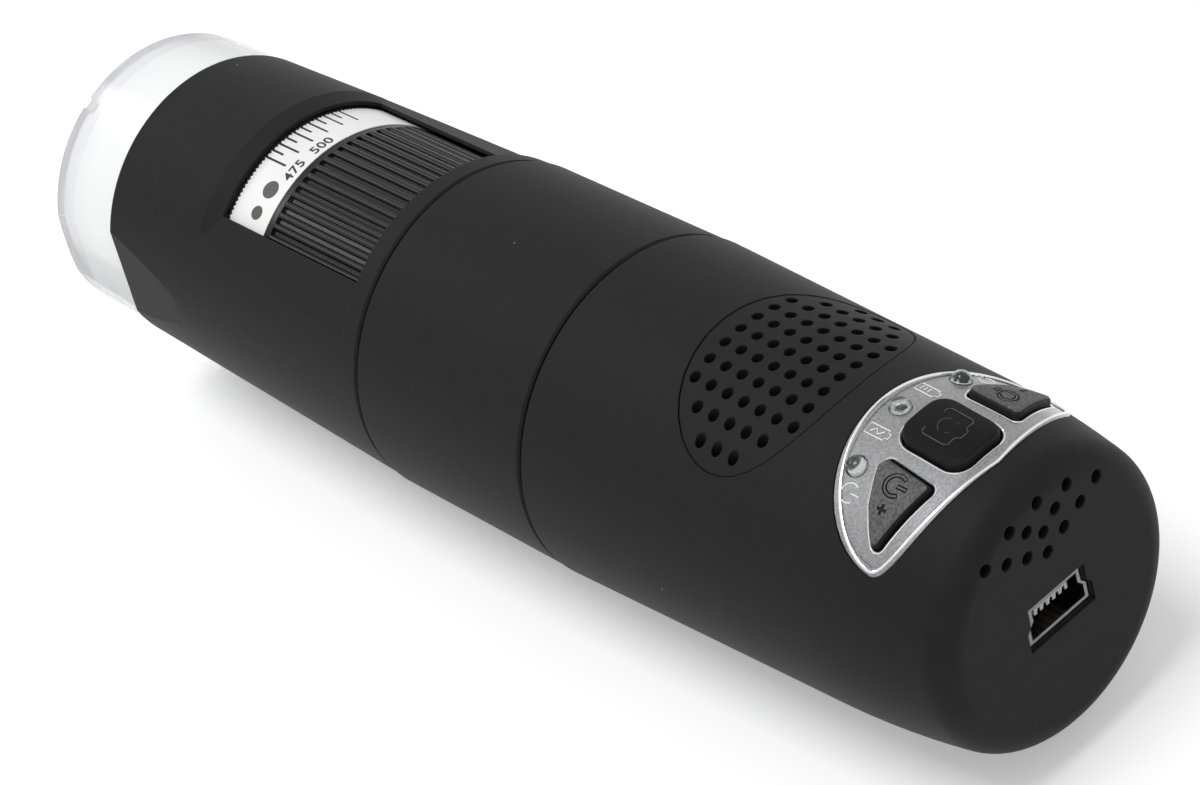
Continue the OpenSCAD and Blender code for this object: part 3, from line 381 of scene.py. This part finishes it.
def make_finishes():
    """The material of each slot of the record, and then those that only pieces made here have."""
    made = [
        soft_touch(),
        hood_plastic(),
        moulded("frame_plastic", (0.1, 0.1, 0.11), 0.5, edge=0.15),
        moulded("dial_black", (0.003, 0.003, 0.0032), 0.2, grain=0.2, depth=0.001, edge=0.14,
                Specular_IOR_Level=0.26),
        moulded("scale_white", (0.94, 0.94, 0.94), 0.4, depth=0.001, uneven=0.02),
        moulded("steel", (0.62, 0.62, 0.64), 0.3, Metallic=1.0),
        moulded("washer_fibre", (0.3, 0.16, 0.08), 0.85, grain=0.2, depth=0.02, uneven=0.3),
        moulded("barrel_aluminium", (0.03, 0.03, 0.032), 0.38, grain=0.08, Metallic=0.4),
        clear("lens_glass", (0.97, 0.99, 1.0), 0.02, 1.6, ripple=0.0),
        moulded("white_board", (0.8, 0.81, 0.8), 0.35, uneven=0.03),
        clear("lamp_resin", (0.98, 0.98, 0.93), 0.08, 1.5),
        moulded("green_board", (0.02, 0.13, 0.06), 0.3, uneven=0.25),
        moulded("chip_black", (0.02, 0.02, 0.022), 0.55, grain=0.1),
        clear("filter_glass", (0.95, 0.75, 0.8), 0.02, 1.52, ripple=0.0),
        moulded("shield_tin", (0.7, 0.7, 0.68), 0.35, grain=0.6, Metallic=1.0),
        moulded("antenna_ceramic", (0.75, 0.62, 0.4), 0.5),
        moulded("battery_pouch", (0.5, 0.52, 0.55), 0.4, grain=0.8, depth=0.02, Metallic=0.8),
        moulded("foam_tape", (0.75, 0.7, 0.6), 0.9, grain=0.25, depth=0.03),
        moulded("flex_film", (0.55, 0.25, 0.06), 0.35, uneven=0.2),
        moulded("connector_ivory", (0.75, 0.72, 0.6), 0.45),
        # The socket shell's steel is darkened: painted shade, standing in for the dark surroundings that bare
        # steel mirrors.
        moulded("socket_steel", (0.2, 0.2, 0.21), 0.22, grain=0.5, depth=0.002, edge=0.14, Metallic=1.0),
        moulded("socket_insulator", (0.45, 0.45, 0.47), 0.4),
        moulded("contact_gold", (0.8, 0.6, 0.28), 0.25, Metallic=1.0),
        moulded("panel_clear", (0.245, 0.245, 0.25), 0.42, grain=0.11, depth=0.02, uneven=0.28, edge=0.12,
                patch=2, Metallic=0.7, Coat_Weight=1.0, Coat_Roughness=0.06),
        moulded("panel_silver", (0.6, 0.6, 0.61), 0.4, grain=0.14, depth=0.012, uneven=0.3, Metallic=0.85),
        clear("dome_clear", (0.42, 0.43, 0.43), 0.1, 1.5),
        moulded("key_rubber", (0.006, 0.006, 0.0061), 0.55, grain=0.1, depth=0.004, Specular_IOR_Level=0.2),
    ]
    made += [
        moulded("key_grained", (0.08, 0.08, 0.08), 0.6, grain=0.14, depth=0.03, uneven=0.65, patch=2),
        speckled_key(),
        # The capture button's raised lines are its own black plastic, given a lighter grey: painted highlight
        # along them.
        moulded("key_line", (0.07, 0.07, 0.07), 0.5, grain=0.1),
        moulded("panel_edge", (0.78, 0.78, 0.79), 0.14, grain=0.4, depth=0.002, uneven=0.04, Metallic=1.0),
        moulded("sign_white", (0.9, 0.9, 0.9), 0.35, grain=0.2, depth=0.002, uneven=0.04),
        moulded("scale_ink", (0.012, 0.012, 0.013), 0.5, grain=0.1),
        moulded("scale_grey", (0.075, 0.073, 0.07), 0.5, grain=0.1),
    ]
    return {finish.name: finish.material for finish in made}


# Meshes

def field(items, name, kind=float):
    """One number of each of a mesh's items, in an array."""
    values = np.empty(len(items), kind)
    items.foreach_get(name, values)
    return values


def vectors(items, name):
    """One vector of each of a mesh's items, in the rows of an array."""
    values = np.empty(len(items) * 3)
    items.foreach_get(name, values)
    return values.reshape(-1, 3)


def smooth_normals(mesh, limit):
    """Corner normals that follow the curved faces round each corner and stay sharp at its real edges."""
    places = vectors(mesh.vertices, "co")[field(mesh.loops, "vertex_index", np.int32)]
    corner_counts = field(mesh.polygons, "loop_total", np.int32)
    own = np.repeat(vectors(mesh.polygons, "normal"), corner_counts, axis=0)
    weight = np.repeat(field(mesh.polygons, "area"), corner_counts)
    spot = np.unique(np.round(places / WELD).astype(np.int64), axis=0, return_inverse=True)[1].ravel()
    order = np.argsort(spot, kind="stable")
    groups = np.split(order, np.flatnonzero(np.diff(spot[order])) + 1)
    smooth = own.copy()
    least = math.cos(math.radians(limit))
    for group in groups:
        normals = own[group]
        near = (normals @ normals.T > least) * weight[group]
        smooth[group] = near @ normals
    smooth /= np.maximum(np.linalg.norm(smooth, axis=1, keepdims=True), LEAST_LENGTH)
    mesh.polygons.foreach_set("use_smooth", np.ones(len(mesh.polygons), bool))
    mesh.normals_split_custom_set(smooth)


def dress(mesh, *finishes):
    """Puts these finishes in the mesh's slots, and keeps each face's place among them."""
    places = field(mesh.polygons, "material_index", np.int32)
    mesh.materials.clear()
    for finish in finishes:
        mesh.materials.append(finish)
    mesh.polygons.foreach_set("material_index", places)


def dress_nodes(finishes):
    """Gives each CAD node the finish of its slot in the record, and shades its curves smooth."""
    for part in frame["record"]["subparts"]:
        mesh = frame["nodes"][part["node"]].data
        mesh.materials.clear()
        mesh.materials.append(finishes[part["material_slot"]])
        smooth_normals(mesh, CAD_SMOOTH)


def make_piece(mesh, body, slot, *finishes):
    """A piece that shows this mesh and moves with a body."""
    dress(mesh, *finishes)
    smooth_normals(mesh, PIECE_SMOOTH)
    piece = placed(mesh.name, mesh)
    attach(piece, body)
    return piece


def taken_from(holder, name):
    """The mesh that an object shows, once its text or modifiers are worked out. The object goes."""
    view = bpy.context.evaluated_depsgraph_get()
    mesh = bpy.data.meshes.new_from_object(holder.evaluated_get(view))
    mesh.name = name
    bpy.data.objects.remove(holder)
    return mesh


def engraved(mesh, cutters):
    """The mesh with the cutters' grooves in it."""
    holder = placed("blank", mesh)
    tools = [placed("tool", cutter) for cutter in cutters]
    for tool in tools:
        cut = holder.modifiers.new("cut", "BOOLEAN")
        cut.operation = "DIFFERENCE"
        cut.object = tool
    result = taken_from(holder, mesh.name)
    for tool in tools:
        bpy.data.objects.remove(tool)
    return result


# Shapes

class Skin:
    """The outside of a CAD node, to lay pieces on."""

    def __init__(self, node):
        mesh = frame["nodes"][node].data
        self.tree = BVHTree.FromPolygons([v.co for v in mesh.vertices], [p.vertices for p in mesh.polygons])

    def hit(self, start, way):
        """Where a ray from start first meets the node."""
        return self.tree.ray_cast(start, way)[0]

    def land(self, y, angle, lift=0.0):
        """The outside's point at this place along and round the body, raised by lift."""
        inwards = (at(y, angle, 0) - at(y, angle, 1)).normalized()
        return self.hit(at(y, angle, FAR), inwards) - inwards * lift * MM

    def lay(self, y, angle, flat, radius, lift):
        """Flat points laid on the outside round a place, where the body has about this radius."""
        return [self.land(y + v, angle + math.degrees(u / radius), lift) for u, v in flat]


class Shape:
    """Closed solids gathered into one mesh."""

    def __init__(self):
        self.points = []
        self.faces = []

    def loft(self, rings, joined=False):
        """A skin over a row of equal rings, closed at its two ends, or joined from the last to the first."""
        start, count = len(self.points), len(rings[0])
        for ring in rings:
            self.points.extend(ring)
        spans = len(rings) if joined else len(rings) - 1
        for i in range(spans):
            a, b = start + i * count, start + (i + 1) % len(rings) * count
            for k in range(count):
                after = (k + 1) % count
                self.faces.append((a + k, a + after, b + after, b + k))
        if not joined:
            self.faces.append([start + k for k in range(count)])
            self.faces.append([start + (len(rings) - 1) * count + k for k in range(count)])

    def bar(self, path, size, closed=False, sides=BAR_SIDES):
        """An oval bar of this size along points on the body."""
        half_width, half_height = size
        rings = []
        for i, point in enumerate(path):
            before = path[i - 1] if closed or i else point
            after = path[(i + 1) % len(path)] if closed or i + 1 < len(path) else point
            along = (after - before).normalized()
            out = Vector((point.x, 0, point.z - AXIS_Z * MM)).normalized()
            across = along.cross(out).normalized()
            out = across.cross(along)
            across, out = across * half_width * MM, out * half_height * MM
            rings.append([point + across * math.cos(t) + out * math.sin(t) for t in turns(sides)])
        self.loft(rings, joined=closed)

    def mesh(self, name):
        """The solids as a mesh whose faces look outwards."""
        mesh = bpy.data.meshes.new(name)
        mesh.from_pydata(self.points, [], self.faces)
        build = bmesh.new()
        build.from_mesh(mesh)
        bmesh.ops.recalc_face_normals(build, faces=build.faces)
        build.to_mesh(mesh)
        build.free()
        return mesh


def turns(count):
    """The angles of this many equal steps round a circle, in radians."""
    return [math.tau * k / count for k in range(count)]


def circle(radius, count):
    """Points at equal distances on a circle."""
    return [(radius * math.cos(t), radius * math.sin(t)) for t in turns(count)]


def arc(middle, radius, start, end, count=24):
    """Points on an arc, its angles in degrees from the first axis to the second."""
    steps = [math.radians(start + (end - start) * i / count) for i in range(count + 1)]
    return [(middle[0] + radius * math.cos(t), middle[1] + radius * math.sin(t)) for t in steps]


def rounded(corners, radius, steps=10):
    """A ring round these corners, which are the middles of its corner arcs, listed anticlockwise."""
    ring = []
    for i, corner in enumerate(corners):
        before, after = corners[i - 1], corners[(i + 1) % len(corners)]
        start = math.degrees(math.atan2(corner[1] - before[1], corner[0] - before[0])) - 90
        end = math.degrees(math.atan2(after[1] - corner[1], after[0] - corner[0])) - 90
        ring += arc(corner, radius, start, start + (end - start) % 360, steps)
    return ring


def resampled(ring, count):
    """The closed ring with this many points at equal distances."""
    path = np.array(ring + ring[:1])
    length = np.concatenate([[0], np.cumsum(np.linalg.norm(np.diff(path, axis=0), axis=1))])
    places = np.linspace(0, length[-1], count, endpoint=False)
    return list(zip(np.interp(places, length, path[:, 0]), np.interp(places, length, path[:, 1])))


def outlined(path, half):
    """A closed line that runs round an open path at this distance."""
    sides = [], []
    for i, (u, v) in enumerate(path):
        before, after = path[max(i - 1, 0)], path[min(i + 1, len(path) - 1)]
        along = Vector((after[0] - before[0], after[1] - before[1])).normalized()
        for side, way in zip(sides, (half, -half)):
            side.append((u - along.y * way, v + along.x * way))
    return sides[0] + sides[1][::-1]


# Signs, as lists of flat lines

def power_sign(middle, size):
    """A ring that is open towards the rear, and a bar in the opening."""
    u, v = middle
    return [arc(middle, size, -40, 220), [(u, v - 0.2 * size), (u, v - 1.2 * size)]]


def lamp_sign(middle, size):
    """A bulb with its base."""
    u, v = middle
    bulb = arc((u, v - 0.2 * size), 0.8 * size, 125, 415)
    return [bulb] + [[(u - 0.35 * size, v + h * size), (u + 0.35 * size, v + h * size)] for h in (0.75, 1.1)]


def minus_sign(middle, size):
    """A bar across the body."""
    u, v = middle
    return [[(u - size, v), (u + size, v)]]


def plus_sign(middle, size):
    """A bar across the body and one along it."""
    u, v = middle
    return minus_sign(middle, size) + [[(u, v - size), (u, v + size)]]


def camera_sign():
    """The closed outline of a camera, seen from the rear of the body, and two arcs of its lens."""
    half = [(0.45, -1.75), (0.75, -1.3), (1.6, -1.3), (1.9, -1.0), (1.9, 1.4), (1.6, 1.7)]
    return half + mirrored(half), [arc((0, 0.2), 0.9, 20, 160), arc((0, 0.2), 0.9, 205, 330)]


def cell_sign():
    """The closed outline of a battery, a zigzag for charging in it and the bars of its level."""
    half = [(0.28, -1.3), (0.28, -1.0), (0.55, -1.0), (0.55, 1.2)]
    zigzag = [[(-0.25, 0.8), (0.25, 0.35), (-0.25, -0.1), (0.25, -0.6)]]
    level = [[(-0.28, v), (0.28, v)] for v in (0.8, 0.35, -0.1)]
    return half + mirrored(half), zigzag, level


# Buttons

def on_key(angle, u, v, w):
    """A point in a button's own frame: u round the body, v along it and w out from the axis."""
    turn = math.radians(angle)
    x = u * math.cos(turn) + w * math.sin(turn)
    z = w * math.cos(turn) - u * math.sin(turn)
    return Vector((x, KEY_MID + v - SEAM_Y, AXIS_Z + z)) * MM


def key_top(u, v):
    """How far from the axis a button's top is, before its edge is rolled."""
    return math.sqrt((KEY_TOP + v * KEY_SLOPE) ** 2 - u * u)


def key_mesh(key):
    """A button with upright walls, a rolled edge and a crowned top, which takes the second finish."""
    corners, radius, angle = KEYS[key]
    outside = resampled(rounded(corners, radius), KEY_POINTS)
    middle = np.mean(outside, axis=0)

    def ring(inset, share, drop):
        """The outline drawn in by inset and then to a share of its size, and drop below the top."""
        points = resampled(rounded(corners, radius - inset), KEY_POINTS)
        places = [middle + (np.array(p) - middle) * share for p in points]
        return [on_key(angle, u, v, key_top(u, v) - drop) for u, v in places]

    rings = [[on_key(angle, u, v, KEY_FOOT) for u, v in outside]]
    for turn in ROLL_ANGLES:
        t = math.radians(turn)
        rings.append(ring(KEY_EDGE * (1 - math.cos(t)), 1.0, KEY_CROWN + KEY_EDGE * (1 - math.sin(t))))
    for share in CROWN_SHARES:
        rings.append(ring(KEY_EDGE, share, KEY_CROWN * share ** 2))
    shape = Shape()
    shape.loft(rings)
    mesh = shape.mesh(key + "_cap")
    wall_spans, end_faces = 1 + len(ROLL_ANGLES) // 2, 2
    top = range(wall_spans * KEY_POINTS, len(mesh.polygons) - end_faces)
    for face in mesh.polygons:
        face.material_index = 1 if face.index in top else 0
    return mesh


def key_line(key, flat, size, closed=False):
    """A bar along flat points on a button's top."""
    angle = KEYS[key][2]
    shape = Shape()
    path = [on_key(angle, u, v, key_top(u, v) - KEY_LINE_SINK) for u, v in flat]
    shape.bar(path, size, closed)
    return shape.mesh("line")


def make_keys(finishes):
    """The three buttons: two engraved ones at the sides and one with fine raised lines in the middle."""
    signs = {
        "power": (power_sign(POWER_SIGN, KEY_SIGN_SIZE), plus_sign(PLUS_MARK, KEY_MARK_SIZE)),
        "light": (lamp_sign(LAMP_SIGN, KEY_SIGN_SIZE), minus_sign(MINUS_MARK, KEY_MARK_SIZE)),
    }
    dark, grained = finishes["key_rubber"], finishes["key_grained"]
    for name, (sign, mark) in signs.items():
        blank = key_mesh(name)
        dress(blank, dark, grained)
        cutters = [key_line(name, outlined(line, SIGN_STROKE), SIGN_GROOVE, closed=True) for line in sign]
        cutters += [key_line(name, line, MARK_GROOVE) for line in mark]
        cap = make_piece(engraved(blank, cutters), name + "_key", "key_rubber", dark, grained)
        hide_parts(name + "_button")
    cap = make_piece(key_mesh("capture"), "capture_key", "key_rubber", dark, finishes["key_speckled"])
    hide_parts("capture_button")
    body, lens = camera_sign()
    lines = [key_line("capture", body, RAISED_LINE, closed=True)]
    lines += [key_line("capture", part, RAISED_LINE) for part in lens]
    # The raised lines are the button's black plastic; their lighter key_line finish is painted highlight.
    for i, line in enumerate(lines):
        line.name = "capture_line_%d" % i
        make_piece(line, "capture_key", "key_rubber", finishes["key_line"])


# Panel and domes

def make_domes(finishes):
    """Clear lamp windows that flare out on to the panel."""
    skin = Skin("button_panel")
    along = Vector((0, 1, 0))
    shape = Shape()
    for y, angle in DOME_PLACES:
        out = (at(y, angle, 1) - at(y, angle, 0)).normalized()
        across = along.cross(out)
        flare_y = y + DOME_FLARE
        panel_r = (skin.land(flare_y, angle) - at(flare_y, angle, 0)).length / MM
        foot = at(y, angle, panel_r)
        shape.loft([
            [foot + (along * math.cos(t) * r + across * math.sin(t) * r + out * h) * MM
             for t in turns(DOME_SIDES)]
            for r, h in DOME_PROFILE])
    domes = make_piece(shape.mesh("dome_bulbs"), "body", "dome_clear", finishes["dome_clear"])
    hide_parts("indicator_domes")


def panel_ring(inset):
    """The panel's outline from above, drawn in by inset, as places across and along the body."""
    points = []
    for t in turns(PANEL_POINTS):
        across = (PANEL_TIP_X - inset) * math.sin(t)
        if math.cos(t) >= 0:
            points.append((across, PANEL_TIP_Y + (PANEL_FRONT - inset) * math.cos(t)))
        else:
            rise = math.sqrt(max(0.0, 1 - abs(math.sin(t)) ** PANEL_BACK_POWER))
            points.append((across, PANEL_TIP_Y - (PANEL_BACK - inset) * rise))
    return resampled(points, PANEL_POINTS)


def panel_rims(skin):
    """Bars along the panel's edge and round its cut-outs."""
    rims = Shape()
    down = Vector((0, 0, -1))
    above = [Vector((x, y - SEAM_Y, 2 * FAR)) * MM for x, y in panel_ring(RIM_INSET)]
    rims.bar([skin.hit(point, down) for point in above], RIM_BAR, closed=True)
    for corners, radius, angle in KEYS.values():
        path = []
        for u, v in resampled(rounded(corners, radius + CUT_OUT_GAP + CUT_OUT_RIM), KEY_POINTS):
            high, low = on_key(angle, u, v, FAR), on_key(angle, u, v, 0)
            path.append(skin.hit(high, (low - high).normalized()))
        rims.bar(path, CUT_OUT_BAR, closed=True)
    return rims


def panel_signs(skin):
    """Two battery signs beside the middle dome, and a power sign and a lamp towards its tips."""
    signs = Shape()

    def draw(y, angle, lines, closed=False):
        """Adds bars along flat lines round this place."""
        for line in lines:
            path = skin.lay(y, angle, line, PANEL_R, PANEL_SIGN_LIFT)
            signs.bar(path, PANEL_SIGN_BAR, closed, FINE_SIDES)

    outline, zigzag, level = cell_sign()
    y, angle = CELL_PLACE
    for side, inside in ((-angle, zigzag), (angle, level)):
        draw(y, side, [outline], closed=True)
        draw(y, side, inside)
    y, angle = TIP_PLACE
    draw(y, -angle, power_sign((0, 0), TIP_SIGN_SIZE))
    draw(y, angle, lamp_sign((0, 0), TIP_SIGN_SIZE))
    return signs


def dress_panel(finishes):
    """The panel's polished rim, the edges of its cut-outs and its raised signs."""
    skin = Skin("button_panel")
    make_piece(panel_rims(skin).mesh("panel_rim"), "body", "panel_silver", finishes["panel_edge"])
    make_piece(panel_signs(skin).mesh("panel_signs"), "body", "panel_silver", finishes["sign_white"])


# Charging socket

def notch_tongue(finishes):
    """The socket's tongue, with a notch in front of each contact whose cut walls are painted black: painted
    shade in the notches.
    """
    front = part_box("usb_tongue")[0][1]
    mesh = frame["nodes"]["usb_tongue"].data.copy()
    mesh.name = "notched_tongue"
    low, high = ((AXIS_Z + height) * MM for height in NOTCH_HEIGHTS)
    cutters = []
    for place in CONTACT_PLACES:
        left, right = ((place * CONTACT_PITCH + side) * MM for side in (-NOTCH_HALF, NOTCH_HALF))
        corners = [(left, low), (right, low), (right, high), (left, high)]
        shape = Shape()
        shape.loft([[Vector((x, front + depth * MM, z)) for x, z in corners] for depth in NOTCH_DEPTHS])
        cutters.append(shape.mesh("notch"))
    # The cut walls take the first finish, black, as painted shade; the rest of the tongue takes the grey
    # insulator.
    dark, grey = finishes["chip_black"], finishes["socket_insulator"]
    mesh.polygons.foreach_set("material_index", [1] * len(mesh.polygons))
    dress(mesh, dark, grey)
    tongue = make_piece(engraved(mesh, cutters), "body", "socket_insulator", dark, grey)
    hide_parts("usb_tongue")


# Dial

def add_graduations(ink, skin, angles):
    """Four lines for each number, long and short in turn, and three more past the last."""
    quarters = [(value, quarter) for value in angles for quarter in range(4)]
    quarters += [(SCALE_VALUES[-1], quarter) for quarter in range(4, 7)]
    for value, quarter in quarters:
        angle = angles[value] + quarter / 4 * SCALE_STEP
        end = MARK_SHORT if quarter % 2 else MARK_LONG
        path = [skin.land(y, angle) for y in (MARK_START, (SCALE_FRONT + end) / 2, end)]
        ink.bar(path, MARK_BAR, sides=FINE_SIDES)


def add_teeth(ink, skin):
    """A line round the band's front edge, toothed on its rear side."""
    rear, front = [], []
    for k in range(2 * TEETH):
        angle = 180 * k / TEETH
        rear.append((TOOTH_ROOT if k % 2 else TOOTH_TIP, angle))
        front.append((TOOTH_FRONT, angle))
    edges = ((rear, INK_LOW), (rear, INK_HIGH), (front, INK_HIGH), (front, INK_LOW))
    ink.loft([[skin.land(y, angle, lift) for y, angle in edge] for edge, lift in edges], joined=True)


def scale_dots(skin):
    """Two flat round dots."""
    dots = Shape()
    levels = [(1, INK_LOW), (1, INK_HIGH)] + [(share, INK_HIGH) for share in DOT_SHARES]
    for y, angle, radius in SCALE_DOTS:
        dots.loft([
            skin.lay(y, angle, circle(radius * share, DOT_POINTS), SCALE_R, lift)
            for share, lift in levels])
    return dots


def scale_number(skin, value, angle):
    """A number, bent round the band."""
    text = bpy.data.curves.new("number", "FONT")
    text.body = str(value)
    text.size = NUMBER_SIZE
    text.align_x = "CENTER"
    text.extrude = INK_HIGH
    text.offset = NUMBER_WEIGHT
    text.space_character = NUMBER_SPACING
    number = taken_from(placed("number", text), "scale_%d" % value)
    for vertex in number.vertices:
        u, v, lift = vertex.co
        vertex.co = skin.land(NUMBER_Y + v, angle + math.degrees(u / SCALE_R), lift)
    return number


def print_scale(finishes):
    """Ink on the dial's white band: graduations, numbers, two dots and a toothed edge."""
    skin = Skin("scale_band")
    angles = {value: SCALE_475 + (value - 475) / SCALE_UNITS * SCALE_STEP for value in SCALE_VALUES}
    ink = Shape()
    add_graduations(ink, skin, angles)
    add_teeth(ink, skin)
    make_piece(ink.mesh("scale_ink"), "dial", "dial_black", finishes["scale_ink"])
    make_piece(scale_dots(skin).mesh("scale_dots"), "dial", "dial_black", finishes["scale_grey"])
    for value, angle in angles.items():
        make_piece(scale_number(skin, value, angle), "dial", "dial_black", finishes["scale_ink"])


# Studio

def make_camera():
    """The camera at the photograph's place, looking its way."""
    data = bpy.data.cameras.new("camera")
    data.lens = CAMERA_LENS
    data.sensor_width = CAMERA_SENSOR
    data.clip_start, data.clip_end = (distance * MM for distance in CAMERA_CLIP)
    camera = placed("camera", data)
    forward = Vector(CAMERA_FORWARD).normalized()
    right = (Vector(CAMERA_RIGHT) - Vector(CAMERA_RIGHT).dot(forward) * forward).normalized()
    up = right.cross(forward)
    turn = Matrix((right, up, -forward)).transposed()
    camera.matrix_world = Matrix.Translation(Vector(CAMERA_PLACE) * MM) @ turn.to_4x4()
    bpy.context.scene.camera = camera


def make_lamp(name, place, size, power):
    """A rectangular lamp that faces the object."""
    data = bpy.data.lights.new(name, "AREA")
    data.shape = "RECTANGLE"
    data.size, data.size_y = size
    data.energy = power
    lamp = placed(name, data)
    lamp.location = place
    lamp.rotation_euler = (Vector(LAMP_AIM) - Vector(place)).to_track_quat("-Z", "Y").to_euler()


def seen_ray(tree):
    """1 for what the camera sees, straight, in a gloss or through a clear material, and 0 for other light."""
    path = tree.nodes.new("ShaderNodeLightPath")
    seen = path.outputs["Is Camera Ray"]
    for name in ("Is Glossy Ray", "Is Transmission Ray"):
        either = tree.nodes.new("ShaderNodeMath")
        either.operation = "MAXIMUM"
        tree.links.new(seen, either.inputs[0])
        tree.links.new(path.outputs[name], either.inputs[1])
        seen = either.outputs[0]
    return seen


def make_table():
    """A white table that glows a little to the camera."""
    table = Finish("table", Roughness=0.8, Specular_IOR_Level=0.1, Emission_Color=(1.0, 1.0, 1.0))
    darker, lighter = (0.93, 0.93, 0.93), (0.95, 0.95, 0.95)
    shade = table.ramp(table.noise(TABLE_PATCH), (NOISE_LOW, darker), (NOISE_HIGH, lighter))
    glow = table.spread(seen_ray(table.tree), 0.0, TABLE_GLOW, 0.0, 1.0)
    table.set(table.shader, Base_Color=shade, Emission_Strength=glow)
    c = TABLE_CORNER
    mesh = bpy.data.meshes.new("floor")
    mesh.from_pydata([(-c, -c, 0), (c, -c, 0), (c, c, 0), (-c, c, 0)], [], [(0, 1, 2, 3)])
    mesh.materials.append(table.material)
    floor = placed("floor", mesh)


def make_room():
    """A room that looks white and gives a weaker light."""
    world = bpy.data.worlds.new("room")
    world.use_nodes = True
    bpy.context.scene.world = world
    tree = world.node_tree
    level = tree.nodes.new("ShaderNodeMapRange")
    level.inputs["To Min"].default_value = ROOM_LIGHT
    level.inputs["To Max"].default_value = ROOM_SEEN
    tree.links.new(seen_ray(tree), level.inputs["Value"])
    background = tree.nodes["Background"]
    background.inputs["Color"].default_value = (1.0, 1.0, 1.0, 1.0)
    tree.links.new(level.outputs[0], background.inputs["Strength"])


def make_studio():
    """The table, the room, an overhead soft box, a fill from the camera's side and a strip beyond."""
    bpy.context.scene.view_settings.view_transform = "Standard"
    make_table()
    make_room()
    for name, (place, size, power) in LAMPS.items():
        make_lamp(name, place, size, power)


make_camera()
finishes = make_finishes()
dress_nodes(finishes)
make_keys(finishes)
make_domes(finishes)
dress_panel(finishes)
notch_tongue(finishes)
print_scale(finishes)
make_studio()
